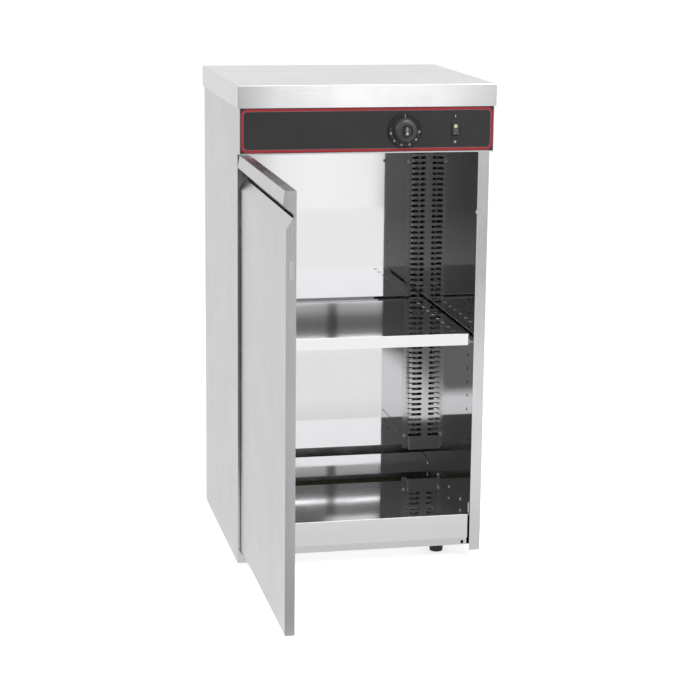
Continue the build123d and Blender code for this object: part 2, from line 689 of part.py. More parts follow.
insert_z = knob_z - grip_length / 2 + grip_width / 2
insert_plane = grip_height + insert_proud - insert_length - knob_face_y
with BuildPart() as control_knob:
    with BuildSketch(Plane.YZ.offset(knob_x)):
        with BuildLine():
            face = knob_face_y
            edge = FilletPolyline(
                (knob_back_y, knob_z + skirt_radius - skirt_bevel),
                (knob_back_y - skirt_thickness, knob_z + skirt_radius),
                (knob_back_y - skirt_thickness, knob_z + knob_radius),
                (face, knob_z + knob_radius - knob_draft),
                (face, knob_z + dish_radius),
                radius=(skirt_edge, skirt_edge, knob_edge),
            )
            floor_y = face + dish_depth
            Polyline(edge @ 1, (floor_y, knob_z + dish_radius - dish_slope), (floor_y, knob_z),
                     (knob_back_y, knob_z), edge @ 0)
        make_face()
    revolve(axis=Axis((knob_x, 0, knob_z), (0, 1, 0)))
    with BuildSketch(front.offset(-floor_y)):
        with Locations((knob_x, knob_z)):
            SlotOverall(grip_length, grip_width, rotation=90)
    extrude(amount=dish_depth + grip_height, taper=grip_taper)
    bore = shaft_in_knob + knob_gap
    with BuildSketch(rear.offset(knob_back_y - bore)):
        with Locations((knob_x, -knob_z)):
            Circle(shaft_radius + shaft_play)
            with Locations((0, -shaft_radius)):
                Rectangle(3 * shaft_radius, 2 * (shaft_flat - shaft_play), mode=Mode.SUBTRACT)
    extrude(amount=bore, mode=Mode.SUBTRACT)
    drill(front.offset(insert_plane), [(knob_x, insert_z)], insert_radius, insert_length)
save(control_knob, "control_knob")

with BuildPart() as knob_insert:
    drill(front.offset(insert_plane), [(knob_x, insert_z)], insert_radius, insert_length, Mode.ADD)
    fillet(knob_insert.faces().sort_by(Axis.Y)[0].edges(), insert_proud)
save(knob_insert, "knob_insert")

sensor_z = ceiling_z - bulb_radius - sensor_drop
with BuildPart() as thermostat_sensor:
    start_y = fascia_y + sheet + thermostat_depth + diaphragm_depth
    with BuildLine() as route:
        FilletPolyline(
            (knob_x, start_y, knob_z),
            (knob_x, sensor_y, knob_z),
            (knob_x, sensor_y, sensor_z),
            (knob_x, sensor_y + 2 * sensor_bend, sensor_z),
            radius=(sensor_bend * 2, sensor_bend / 2),
        )
    with BuildSketch(rear.offset(start_y)):
        with Locations((knob_x, -knob_z)):
            Circle(capillary_radius)
    sweep(path=route.line)
    drill(rear.offset(sensor_y + 2 * sensor_bend), [(knob_x, -sensor_z)], bulb_radius, bulb_length, Mode.ADD)
save(thermostat_sensor, "thermostat_sensor")

with BuildPart() as sensor_clips:
    neck = bulb_radius + clip_play + sheet
    for k in sensor_clip_spots:
        with BuildSketch(rear.offset(sensor_y + 2 * sensor_bend + k * bulb_length)):
            with Locations((knob_x, -sensor_z)):
                Circle(neck)
                with Locations((sensor_clip_tab / 2, -(bulb_radius + sensor_drop) / 2)):
                    Rectangle(sensor_clip_tab, bulb_radius + sensor_drop)
                with Locations(((sensor_clip_tab + neck) / 2, -(bulb_radius + sensor_drop - sheet) / 2)):
                    Rectangle(sensor_clip_tab - neck, bulb_radius + sensor_drop - sheet, mode=Mode.SUBTRACT)
                Circle(bulb_radius + clip_play, mode=Mode.SUBTRACT)
        extrude(amount=sensor_clip_length)
save(sensor_clips, "sensor_clips")

switch_pivot_y = overlay_y + pivot_depth
rocker_opening = rocker_radius + rocker_play
with BuildPart() as switch_housing:
    with BuildSketch(front.offset(-overlay_y)):
        with Locations((switch_x, switch_z)):
            RectangleRounded(bezel_width, bezel_height, bezel_corner)
    extrude(amount=bezel_thickness)
    fillet(switch_housing.faces().sort_by(Axis.Y)[0].edges(), bezel_edge)
    with BuildSketch(rear.offset(overlay_y)):
        with Locations((switch_x, -switch_z)):
            Rectangle(switch_opening[0] - 2 * hole_play, switch_opening[1] - 2 * hole_play)
    extrude(amount=switch_depth)
    with BuildSketch(rear.offset(overlay_y - bezel_thickness)):
        with Locations((switch_x, -switch_z)):
            Rectangle(rocker_width + 2 * rocker_play, 2 * rocker_opening)
    extrude(amount=bezel_thickness + pivot_depth + rocker_opening, mode=Mode.SUBTRACT)
    with BuildSketch(Plane.YZ.offset(switch_x - bezel_width)):
        with Locations((switch_pivot_y, switch_z)):
            Circle(trunnion_radius + trunnion_play)
    extrude(amount=2 * bezel_width, mode=Mode.SUBTRACT)
save(switch_housing, "switch_housing")

# ==== Hinge fixings ==============================================================================
pin_reach = bush_length - bush_seat
with BuildPart() as upper_hinge_pin:
    slab((-body_x + 2 * sheet, hinge_x + upper_plate_reach), (fascia_y + 2 * sheet, frame_y - sheet),
         (fascia_bottom + sheet, fascia_bottom + sheet + hinge_plate))
    drill(Plane.XY.offset(door_top - pin_reach), [(hinge_x, hinge_y)], hinge_pin_radius,
          fascia_bottom + sheet - door_top + pin_reach, Mode.ADD)
save(upper_hinge_pin, "upper_hinge_pin")

pin_top = door_bottom + pin_reach
bracket_top = lip_bottom - seat_gap
bracket_end_x = -bracket_x + bracket_screw_inset
with BuildPart() as lower_hinge_bracket:
    with BuildSketch(Plane.XY.offset(bracket_top - hinge_plate)):
        arm = (hinge_x - bracket_reach, bracket_end_x)
        arm_y = (hinge_y - bracket_reach, frame_y - bracket_back_gap)
        with Locations(((arm[0] + arm[1]) / 2, (arm_y[0] + arm_y[1]) / 2)):
            Rectangle(arm[1] - arm[0], arm_y[1] - arm_y[0])
        foot = (-band_x, bracket_end_x)
        with Locations(((foot[0] + foot[1]) / 2, (hinge_y + base_y) / 2)):
            Rectangle(foot[1] - foot[0], base_y - hinge_y)
        fillet(vertices().sort_by(Axis.Y)[:2], bracket_corner)
    extrude(amount=hinge_plate)
    slab(foot, (base_y - hinge_plate, base_y), (base_height + sheet, bracket_top))
    drill(rear.offset(base_y - 2 * hinge_plate), [(-bracket_x, -band_screw_z)], screw_radius + hole_play,
          3 * hinge_plate)
    drill(Plane.XY.offset(bracket_top), [(hinge_x, hinge_y)], hinge_pin_radius, pin_top - bracket_top,
          Mode.ADD)
save(lower_hinge_bracket, "lower_hinge_bracket")

with BuildPart() as hinge_screw:
    fasteners(rear.offset(base_y - hinge_plate), [(-bracket_x, -band_screw_z)], screw_head_radius, screw_head,
              screw_radius, hinge_plate + 4 * sheet)
save(hinge_screw, "hinge_screw")

with BuildPart() as catch_striker:
    slab((striker_x, striker_x + striker_width), (door_thickness + striker_clear, frame_y),
         (catch_z - striker_height / 2, catch_z + striker_height / 2))
    fillet(catch_striker.edges().filter_by(Axis.Y), striker_corner)
save(catch_striker, "catch_striker")

# ==== Door =======================================================================================
door_outline = [
    (door_back, door_top),
    (door_face - lip_proud + lip_lean, door_top),
    (door_face - lip_proud, door_top - lip_height),
    (door_face + groove_depth, door_top - groove_apex_drop),
    (door_face, door_top - groove_end_drop),
    (door_face, door_bottom),
    (door_back, door_bottom),
]


def across_door(x):
    """Plane that cuts the door from face to back at x along its width."""
    return Plane(origin=door_plane.from_local_coords((x, 0, 0)), x_dir=door_plane.y_dir,
                 z_dir=door_plane.x_dir)


with BuildPart() as door_outer_skin:
    with BuildSketch(across_door(-door_edge)):
        with BuildLine():
            FilletPolyline(*door_outline, radius=door_bends, close=True)
        make_face()
    extrude(amount=door_end + door_edge)
    with BuildSketch(across_door(sheet - door_edge)):
        with BuildLine():
            FilletPolyline(*door_outline, radius=door_bends, close=True)
        make_face()
        offset(amount=-sheet)
        with Locations((door_back - inner_panel_rim / 2, (door_top + door_bottom) / 2)):
            Rectangle(inner_panel_rim + 2 * sheet, door_top - door_bottom - 2 * sheet)
    extrude(amount=door_end + door_edge - 2 * sheet, mode=Mode.SUBTRACT)
    drill(door_plane.offset(door_top - 2 * sheet), [(0, 0)], bush_radius, 4 * sheet)
    drill(door_plane.offset(door_bottom - sheet), [(0, 0)], bush_radius, 3 * sheet)
save(door_outer_skin, "door_outer_skin")

with BuildPart() as door_inner_panel:
    rim = sheet + door_fit
    door_slab((rim - door_edge, door_end - rim), (door_back - inner_panel_rim, door_back),
              (door_bottom + rim, door_top - rim))
    toward_face = Axis(door_plane.origin, door_plane.y_dir)
    offset(amount=-sheet, openings=door_inner_panel.faces().sort_by(toward_face)[0])
save(door_inner_panel, "door_inner_panel")

rim_inside = 3 * sheet
with BuildPart() as door_insulation:
    door_slab((rim_inside - door_edge, door_end - filling_inset), (door_face + sheet, door_back - sheet),
              (door_bottom + bush_length + filling_gap, door_top - groove_end_drop - filling_gap))
save(door_insulation, "door_insulation")

with BuildPart() as door_bushes:
    collar = bush_radius + bush_collar
    top_collar = fascia_bottom - collar_play
    drill(door_plane.offset(door_top - bush_length), [(0, 0)], bush_radius, bush_length, Mode.ADD)
    drill(door_plane.offset(door_top), [(0, 0)], collar, top_collar - door_top, Mode.ADD)
    drill(door_plane.offset(door_bottom), [(0, 0)], bush_radius, bush_length, Mode.ADD)
    low_collar = bracket_top + collar_play
    drill(door_plane.offset(low_collar), [(0, 0)], collar, door_bottom - low_collar, Mode.ADD)
    drill(door_plane.offset(low_collar), [(0, 0)], hinge_pin_radius + hinge_play, top_collar - low_collar)
save(door_bushes, "door_bushes")

magnet = (catch_z - magnet_height / 2, catch_z + magnet_height / 2)
with BuildPart() as door_magnet:
    magnet_back = door_back - sheet
    door_slab((magnet_mid - magnet_width / 2, magnet_mid + magnet_width / 2),
              (magnet_back - magnet_depth, magnet_back), magnet)
save(door_magnet, "door_magnet")

with BuildPart() as door_edge_plate:
    middle = (door_face + door_back) / 2
    door_slab((door_end, door_end + edge_plate_thickness),
              (middle - edge_plate_width / 2, middle + edge_plate_width / 2),
              (edge_plate_z - edge_plate_height / 2, edge_plate_z + edge_plate_height / 2))
    fillet(door_edge_plate.edges().filter_by(Axis(door_plane.origin, door_plane.x_dir)), edge_plate_corner)
save(door_edge_plate, "door_edge_plate")

# ==== Rocker ======================================================================================
pivot = (switch_x, switch_pivot_y, switch_z)
pivot_plane = Plane(origin=pivot, x_dir=(0, 1, 0), z_dir=(1, 0, 0))
pressed_plane = Plane(origin=pivot, x_dir=Vector(0, 1, 0).rotate(Axis.X, -rocker_tilt), z_dir=(1, 0, 0))
lens_z = (switch_z + lens_drop, switch_z + lens_drop + lens_height)
lens_x = (switch_x - lens_width / 2, switch_x + lens_width / 2)
lens_back_y = switch_pivot_y - rocker_proud + lens_depth
with BuildPart() as switch_rocker:
    with BuildSketch(pressed_plane):
        Circle(rocker_radius)
        reach = rocker_radius + trunnion_radius
        with BuildLine():
            brow = PolarLine((-rocker_proud, 0), reach / cos(radians(rocker_tilt)), 90 + rocker_tilt)
            chin = PolarLine((-rocker_proud, 0), reach / cos(radians(rocker_tilt)), -90 - rocker_tilt)
            Polyline(brow @ 1, (rocker_back, reach), (rocker_back, -reach), chin @ 1)
        make_face(mode=Mode.INTERSECT)
    extrude(amount=rocker_width / 2, both=True)
    with BuildSketch(pivot_plane):
        Circle(trunnion_radius)
    extrude(amount=switch_opening[0] / 2 - 2 * hole_play, both=True)
    slab(lens_x, (lens_back_y - lens_pocket, lens_back_y), lens_z, mode=Mode.SUBTRACT)
save(switch_rocker, "switch_rocker")

with BuildPart() as switch_lens:
    slab(lens_x, (switch_pivot_y - rocker_proud - lens_proud, lens_back_y), lens_z)
    fillet(switch_lens.faces().sort_by(Axis.Y)[0].edges(), lens_proud * bend_share)
save(switch_lens, "switch_lens")

# ==== Feet, back fittings and screws ==============================================================
with BuildPart() as feet:
    for x, y in foot_points:
        with BuildSketch(Plane.XZ.offset(-y)):
            with BuildLine():
                start = (x + foot_recess_radius, 0)
                edge = FilletPolyline(
                    start,
                    (x + foot_radius - foot_taper, 0),
                    (x + foot_radius, base_height),
                    (x + bolt_radius + hole_play, base_height),
                    radius=foot_edges,
                )
                Polyline(edge @ 1, (x + bolt_radius + hole_play, foot_recess),
                         (x + foot_recess_radius, foot_recess), start)
            make_face()
        revolve(axis=Axis((x, y, 0), (0, 0, 1)))
save(feet, "feet")

with BuildPart() as foot_bolts:
    fasteners(Plane.XY.offset(foot_recess), foot_points, bolt_head_radius, bolt_head, bolt_radius,
              base_height + sheet + nut_height + bolt_end - foot_recess)
save(foot_bolts, "foot_bolts")

with BuildPart() as foot_nuts:
    with BuildSketch(Plane.XY.offset(base_height + sheet)):
        with Locations(*foot_points):
            RegularPolygon(nut_radius, 6)
            Circle(bolt_radius + nut_play, mode=Mode.SUBTRACT)
    extrude(amount=nut_height)
save(foot_nuts, "foot_nuts")

with BuildPart() as back_screws:
    fasteners(front.offset(-back_y), [(s * screw_x, z) for s in (-1, 1) for z in screw_zs],
              screw_head_radius, screw_head, screw_radius, back_screw_length)
save(back_screws, "back_screws")

with BuildPart() as cord_bushing:
    neck = cord_hole_radius - hole_play
    with BuildSketch(Plane.XY.offset(cord_hole_z)):
        with BuildLine():
            Polyline(
                (cord_hole_x + cord_bore_radius, back_y - bushing_neck),
                (cord_hole_x + neck, back_y - bushing_neck),
                (cord_hole_x + neck, back_y),
                (cord_hole_x + bushing_flange_radius, back_y),
                (cord_hole_x + bushing_flange_radius, back_y + bushing_flange),
                (cord_hole_x + neck, back_y + bushing_flange),
                (cord_hole_x + cord_bore_radius + bushing_lip, back_y + bushing_flange + bushing_nose),
                (cord_hole_x + cord_bore_radius, back_y + bushing_flange + bushing_nose),
                close=True,
            )
        make_face()
    revolve(axis=Axis((cord_hole_x, 0, cord_hole_z), (0, 1, 0)))
save(cord_bushing, "cord_bushing")

with BuildPart() as terminal_block:
    terminal_top = ceiling_z + sheet + terminal_height
    terminal_back_y = back_y - terminal_rear
    slab((cord_hole_x - terminal_length, cord_hole_x), (terminal_back_y - terminal_depth, terminal_back_y),
         (ceiling_z + sheet, terminal_top))
    with BuildSketch(Plane.XY.offset(terminal_top - terminal_groove_depth)):
        with Locations((cord_hole_x - terminal_length / 2, terminal_back_y - terminal_depth / 2)):
            with GridLocations(terminal_length / terminal_ways, 0, terminal_ways - 1, 1):
                Rectangle(terminal_groove, terminal_depth)
    extrude(amount=terminal_groove_depth, mode=Mode.SUBTRACT)
save(terminal_block, "terminal_block")
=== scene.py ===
"""Looks of the plate warmer cabinet: steel sheet, printed control panel, knob and switch.

All lengths are in metres in the part's own frame: X to the right, Y into the cabinet, Z up.
"""

from math import cos, pi, radians, sin

import bmesh
import bpy
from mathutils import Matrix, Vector


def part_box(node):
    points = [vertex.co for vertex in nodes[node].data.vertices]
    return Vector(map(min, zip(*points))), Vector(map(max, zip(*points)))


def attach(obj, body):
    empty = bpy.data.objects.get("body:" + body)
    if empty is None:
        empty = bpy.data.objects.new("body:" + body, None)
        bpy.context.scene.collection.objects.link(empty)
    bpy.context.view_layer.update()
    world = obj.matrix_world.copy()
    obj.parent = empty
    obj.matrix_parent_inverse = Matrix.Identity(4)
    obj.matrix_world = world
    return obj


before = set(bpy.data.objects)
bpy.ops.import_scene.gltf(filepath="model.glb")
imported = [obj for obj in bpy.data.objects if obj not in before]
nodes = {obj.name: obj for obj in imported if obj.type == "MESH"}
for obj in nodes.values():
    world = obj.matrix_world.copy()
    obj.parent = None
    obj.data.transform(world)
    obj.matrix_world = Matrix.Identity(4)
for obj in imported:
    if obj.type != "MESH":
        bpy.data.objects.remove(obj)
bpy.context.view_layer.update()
MM = 0.001

# ---- Print on the control panel --------------------------------------------------------------
print_depth = 0.05 * MM
keyline_side = 4.0 * MM          # width of the red line at the panel's ends
keyline_flat = 4.7 * MM          # width of the red line above and below
keyline_margin = 1.0 * MM        # black edge outside the red line
keyline_corner = 11 * MM
panel_corner = 0.3 * MM
hairline = 0.5 * MM
figure_share = 0.7               # height of a figure as a share of its font's size
skirt_thickness = 2.5 * MM       # knob's skirt, whose front carries the dial
number_height = 3.6 * MM
number_ring = 24.8 * MM          # radius of the dial's numbers
number_start = -5                # degrees from +X of the first number
number_step = -33
numbers = ("30", "40", "50", "60", "70", "80")
tick_length = 5.5 * MM
tick_width = 1.3 * MM
dot_radius = 0.5 * MM
grip_highlight_width = 3.4 * MM          # painted highlight along the knob's grip, above the bright insert: a pale print
grip_highlight_length = 9 * MM
grip_highlight_rise = 3.2 * MM
switch_mark_gap = 22 * MM        # marks above and below the switch's middle
switch_mark_height = 3.4 * MM
switch_mark_bold = 0.07          # share of the height that the marks' outline grows by

# ---- Surfaces --------------------------------------------------------------------------------
fine_grain = (0.35 * MM, 60 * MM)        # steel's grain, across and along
coarse_grain = (2.5 * MM, 350 * MM)
coarse_share = 0.35
streaks_range = (0.5, 0.85)              # of fine grain plus the coarse grain's share
smudge_size = 90 * MM
wave_size = 160 * MM
zinc_crystal = 14 * MM
disc_edge = (20.6 * MM, 21.2 * MM)       # radius at which the knob's satin disc becomes its dull skirt
lens_core = (0.6 * MM, 4.2 * MM)         # distance from its middle over which the lens dims

# ---- Camera, lamps and sky -------------------------------------------------------------------
camera_place = (-0.74388, -3.35800, 1.15775)   # as the photograph's perspective gives it
camera_turn = (radians(77.54422), radians(-0.59948), radians(-11.92316))
camera_lens = 103.745
camera_sensor = 36
low_aim = (0, 0, 0.4)
top_aim = (0.1, 0, 0.6)
knob_aim = (0.06, 0, 0.78)
lamps = (                                # name, place, aim, size, watts, whether steel mirrors it
    ("key_softbox", (1.9, -2.2, 2.4), low_aim, (1.4, 1.4), 25, True),
    ("fill_softbox", (-2.4, -1.2, 1.8), low_aim, (1.6, 1.6), 16, True),
    ("knob_softbox", (0.46, -0.55, 2.3), knob_aim, (1.0, 0.8), 13, True),
    ("top_softbox", (0.3, -0.9, 2.8), top_aim, (2.2, 2.2), 28, False),
)
sky_light = 0.55                         # the sky's brightness as a lamp
sky_in_steel = 0.86                      # and where steel mirrors it

# ---- Floor, and its brightness where steel mirrors it ----------------------------------------
floor_radius = 30
floor_sides = 96
floor_tone = 0.8
floor_lift = 0.62                        # glow that shows the lit floor as white
far_levels = (1.17, 0.28)                # farther out than the bands, to the left and to the right
far_edge = (0.13, 0.24)                  # between the two, on X plus far_slant times Y
far_slant = 0.26
floor_bands = (                          # brightness, and the edge on Y at which it begins
    (1.26, (-2.05, -1.85)),
    (1.08, (-1.6, -0.9)),
    (0.88, (-0.5, -0.15)),
)
behind_level = 0.85                      # behind the cabinet
behind_edge = (0.0, 0.4)
dark_level = 0.5                         # dark studio to the front left, mirrored at once
dark_deep_levels = (0.06, 0.2)           # and in another mirror's picture, from left to right
dark_deep_edge = (-0.95, -0.35)
dark_end = (-0.55, -0.45)                # on Y, its end near the cabinet
dark_side = (-0.10, -0.02)               # on X, its right side
dark_lean = 0.36                         # its right side moves right by this in the far part
dark_lean_edge = (-2.6, -0.9)            # on Y, between the far and near parts

# ---- Cards that only steel mirrors: stops are (X, brightness), a rise has (Z, factor) --------
card_y = -3.5
card_plain = 0.8                         # a card's plain brightness, where steel mirrors it at once
card_left = (-0.55, -0.25)               # on X, where the low and high cards stop being plain
card_whole = (4, 5)                      # beyond every card's right end, so that all of it is plain
low_card_z = (0, 0.4)
low_card_stops = ((-3.5, 0.05), (-0.95, 0.06), (-0.68, 0.14), (-0.3, 0.15), (0.3, 0.1), (0.42, 0.6),
                  (0.6, 1.2), (0.74, 1.28), (0.97, 1.22), (1.04, 0.65), (1.2, 0.45), (3.5, 0.5))
high_card_z = (0.4, 1.197)
high_card_stops = ((-3.5, 0.05), (-0.95, 0.06), (-0.68, 0.14), (-0.3, 0.15), (0.18, 0.1), (0.34, 0.85),
                   (0.48, 1.45), (0.72, 1.52), (1.03, 1.5), (1.2, 0.85), (3.5, 0.7))
rim_card_z = (1.197, 1.46)
rim_card_stops = ((0.1, 0.1), (0.45, 1), (0.785, 1), (0.8, 0.3), (0.822, 0.3), (0.835, 1), (1.0, 1),
                  (1.03, 0.1))
rim_card_rise = ((1.197, 0.6), (1.225, 0.55), (1.26, 0.21), (1.295, 0.18), (1.325, 0.28), (1.338, 0.6),
                 (1.341, 3.4), (1.348, 3.4), (1.351, 0.6), (1.365, 0.28), (1.395, 0.2), (1.46, 0.15))
glint_card_y = card_y + 0.01             # before the rim card
glint_card_z = (1.41, 1.45)
glint_card_stops = ((0.76, 0.1), (0.84, 1.3), (0.98, 1.3), (1.02, 0.1))
dark_card_y = card_y - 0.02              # behind and beside the rim card
dark_card_z = (1.197, 1.6)
dark_card_stops = ((-3.5, 0.05), (-0.95, 0.06), (-0.3, 0.12), (3.5, 0.15))


# ==== Shader nodes ================================================================================
def add(tree, kind, inputs=None, **settings):
    """New shader node; an input takes a value or, from another node, a link."""
    made = tree.nodes.new(kind)
    for name, value in settings.items():
        setattr(made, name, value)
    for name, value in (inputs or {}).items():
        if isinstance(value, bpy.types.NodeSocket):
            tree.links.new(value, made.inputs[name])
        else:
            made.inputs[name].default_value = value
    return made


def new_material(name, **values):
    """Material with a Principled shader, whose sockets are set by name."""
    made = bpy.data.materials.new(name)
    made.use_nodes = True
    shader = made.node_tree.nodes["Principled BSDF"]
    for socket, value in values.items():
        shader.inputs[socket.replace("_", " ")].default_value = value
    return made, made.node_tree, shader


def noise(tree, cell, detail=2.0, roughness=0.5, distortion=0.0):
    """Noise in the object's own frame, whose cells are cell metres along X, Y and Z."""
    place = add(tree, "ShaderNodeTexCoord").outputs["Object"]
    density = [1 / length for length in cell]
    scaled = add(tree, "ShaderNodeVectorMath", {0: place, 1: density}, operation="MULTIPLY")
    wave = {"Vector": scaled.outputs[0], "Scale": 1.0, "Detail": detail, "Roughness": roughness,
            "Distortion": distortion}
    return add(tree, "ShaderNodeTexNoise", wave).outputs["Fac"]


def spread(tree, value, low, high, start=0.3, end=0.7):
    """Number that goes from low to high as a value goes from start to end; noise fills 0.3 to 0.7."""
    limits = {"Value": value, "From Min": start, "From Max": end, "To Min": low, "To Max": high}
    return add(tree, "ShaderNodeMapRange", limits).outputs["Result"]


def blend_colours(tree, factor, first, second):
    """Colour between two colours or nodes' colours."""
    made = add(tree, "ShaderNodeMix", data_type="RGBA")
    tree.links.new(factor, made.inputs["Factor"])
    for socket, colour in ((made.inputs[6], first), (made.inputs[7], second)):
        if isinstance(colour, bpy.types.NodeSocket):
            tree.links.new(colour, socket)
        else:
            socket.default_value = (*colour, 1)
    return made.outputs[2]


def mixed(tree, factor, first, second):
    """Number between two numbers or nodes' numbers."""
    made = add(tree, "ShaderNodeMix", data_type="FLOAT")
    for socket, value in (("Factor", factor), ("A", first), ("B", second)):
        if isinstance(value, bpy.types.NodeSocket):
            tree.links.new(value, made.inputs[socket])
        else:
            made.inputs[socket].default_value = value
    return made.outputs["Result"]


def arithmetic(tree, operation, *values):
    """Result of one operation on numbers or nodes' numbers."""
    return add(tree, "ShaderNodeMath", dict(enumerate(values)), operation=operation).outputs[0]


def axes(tree):
    """X, Y and Z in the object's own frame."""
    place = add(tree, "ShaderNodeTexCoord").outputs["Object"]
    return add(tree, "ShaderNodeSeparateXYZ", {0: place}).outputs


def from_middle(tree, box, directions=(1, 1, 1)):
    """Distance from a box's middle, along the directions that are 1."""
    low, high = box
    place = add(tree, "ShaderNodeTexCoord").outputs["Object"]
    offset = add(tree, "ShaderNodeVectorMath", {0: place, 1: (low + high) / 2}, operation="SUBTRACT")
    kept = add(tree, "ShaderNodeVectorMath", {0: offset.outputs[0], 1: directions},
               operation="MULTIPLY")
    return add(tree, "ShaderNodeVectorMath", {0: kept.outputs[0]}, operation="LENGTH").outputs["Value"]


def bumps(tree, shader, *layers):
    """Bump layers (height, distance in metres, strength), finest last, on a shader's normal."""
    normal = None
    for height, distance, strength in layers:
        inputs = {"Height": height, "Distance": distance, "Strength": strength}
        if normal is not None:
            inputs["Normal"] = normal
        normal = add(tree, "ShaderNodeBump", inputs).outputs["Normal"]
    tree.links.new(normal, shader.inputs["Normal"])


def stretched(across, along, axis):
    """Cell of a grain that runs along one axis."""
    cell = [across] * 3
    cell["XYZ".index(axis)] = along
    return cell


# ==== Materials ===================================================================================
def steel(name, tone, roughness, axis="Z", grain=1.0, ripple=1.0, smudge=0.04, haze=0.0):
    """Stainless sheet: fine grain along an axis, faint smudges and a slightly wavy sheet."""
    made, tree, shader = new_material(name, Metallic=1.0 - haze)
    fine = noise(tree, stretched(*fine_grain, axis), detail=3)
    coarse = noise(tree, stretched(*coarse_grain, axis), detail=3)
    cloud = noise(tree, (smudge_size,) * 3, detail=4, roughness=0.6)
    wave = noise(tree, (wave_size,) * 3, detail=1)
    streaks = arithmetic(tree, "MULTIPLY_ADD", coarse, coarse_share, fine)
    dark = [(0.995 - 0.025 * grain) * part for part in tone]
    streaked = blend_colours(tree, spread(tree, streaks, 0, 1, *streaks_range), dark, tone)
    smudged = [0.96 * part for part in tone]
    colour = blend_colours(tree, spread(tree, cloud, 0, 0.5, 0.5, 0.75), streaked, smudged)
    tree.links.new(colour, shader.inputs["Base Color"])
    grainy = spread(tree, streaks, -0.03 * grain, 0.03 * grain, *streaks_range)
    cloudy = spread(tree, cloud, roughness - smudge / 2, roughness + smudge, 0.35, 0.7)
    tree.links.new(arithmetic(tree, "ADD", grainy, cloudy), shader.inputs["Roughness"])
    bumps(tree, shader, (wave, 0.3 * MM * ripple, 1.0), (coarse, 0.0007 * MM * grain, 1.0),
          (fine, 0.002 * MM * grain, 1.0))
    return made


def zinc_coated(name, tone):
    """Galvanised sheet: each zinc crystal has its own tone and dullness, under a few dull clouds."""
    made, tree, shader = new_material(name, Metallic=1.0)
    place = add(tree, "ShaderNodeTexCoord").outputs["Object"]
    warp = add(tree, "ShaderNodeTexNoise", {"Vector": place, "Scale": 1 / zinc_crystal, "Detail": 2.0})
    shift = add(tree, "ShaderNodeVectorMath", {0: warp.outputs["Color"], "Scale": 0.5 * zinc_crystal},
                operation="SCALE")
    bent = add(tree, "ShaderNodeVectorMath", {0: place, 1: shift.outputs[0]}, operation="ADD")
    crystals = add(tree, "ShaderNodeTexVoronoi", {"Vector": bent.outputs[0], "Scale": 1 / zinc_crystal})
    facet = add(tree, "ShaderNodeSeparateColor", {0: crystals.outputs["Color"]})
    cloud = noise(tree, (smudge_size,) * 3, detail=4, roughness=0.6)
    feathers = noise(tree, (1.2 * MM, 1.2 * MM, 5 * MM), detail=3, distortion=0.8)
    dark = [0.8 * part for part in tone]
    spangled = blend_colours(tree, facet.outputs["Red"], dark, tone)
    dull = [0.9 * part for part in tone]
    colour = blend_colours(tree, spread(tree, cloud, 0, 0.5, 0.45, 0.7), spangled, dull)
    tree.links.new(colour, shader.inputs["Base Color"])
    rough = arithmetic(tree, "ADD", spread(tree, facet.outputs["Green"], 0.30, 0.46, 0, 1),
                       spread(tree, cloud, 0, 0.06))
    tree.links.new(rough, shader.inputs["Roughness"])
    bumps(tree, shader, (facet.outputs["Blue"], 0.01 * MM, 0.6), (feathers, 0.008 * MM, 0.6))
    return made


def plated(name, tone, roughness, spot=0.25):
    """Small plated or machined metal pieces, with a mottled surface."""
    made, tree, shader = new_material(name, Metallic=1.0)
    cloud = noise(tree, (3 * MM,) * 3, detail=4, roughness=0.65)
    fine = noise(tree, (0.25 * MM,) * 3, detail=2)
    dull = [part * (1 - spot) for part in tone]
    colour = blend_colours(tree, spread(tree, cloud, 0, 1, 0.45, 0.7), tone, dull)
    tree.links.new(colour, shader.inputs["Base Color"])
    tree.links.new(spread(tree, cloud, roughness, roughness + 0.12), shader.inputs["Roughness"])
    bumps(tree, shader, (fine, 0.01 * MM, 0.6))
    return made


def moulded(name, tone, roughness, pebble=0.15 * MM, height=0.01 * MM, dust=0.015):
    """Moulded plastic or rubber: fine pebbled skin with pale clouds of dust."""
    made, tree, shader = new_material(name, IOR=1.46)
    skin = noise(tree, (pebble,) * 3, detail=2)
    cloud = noise(tree, (12 * MM,) * 3, detail=4, roughness=0.6)
    dusty = [part + dust for part in tone]
    colour = blend_colours(tree, spread(tree, cloud, 0, 0.6, 0.4, 0.7), tone, dusty)
    tree.links.new(colour, shader.inputs["Base Color"])
    tree.links.new(spread(tree, cloud, roughness - 0.04, roughness + 0.08), shader.inputs["Roughness"])
    bumps(tree, shader, (skin, height, 0.8))
    return made


def knob_skin():
    """Moulded knob: a near-black skirt round a satin disc painted paler; the two tones stand partly for
    the skirt's shade and the disc's sheen.
    """
    made, tree, shader = new_material("knob_plastic", IOR=1.42)
    disc = spread(tree, from_middle(tree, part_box("control_knob"), (1, 0, 1)), 1, 0, *disc_edge)
    cloud = noise(tree, (9 * MM,) * 3, detail=4, roughness=0.6)
    skin = noise(tree, (0.4 * MM,) * 3, detail=2)
    # the disc's paler tone, with random clouds in it, is partly painted sheen; the near-black skirt is
    # partly painted shade
    pale_disc_and_sheen = blend_colours(tree, spread(tree, cloud, 0, 1), (0.040, 0.040, 0.042),
                            (0.052, 0.051, 0.052))
    colour = blend_colours(tree, disc, (0.005, 0.005, 0.0055), pale_disc_and_sheen)
    tree.links.new(colour, shader.inputs["Base Color"])
    tree.links.new(mixed(tree, disc, 0.3, spread(tree, cloud, 0.19, 0.27)), shader.inputs["Roughness"])
    bumps(tree, shader, (skin, 0.002 * MM, 0.8))
    return made


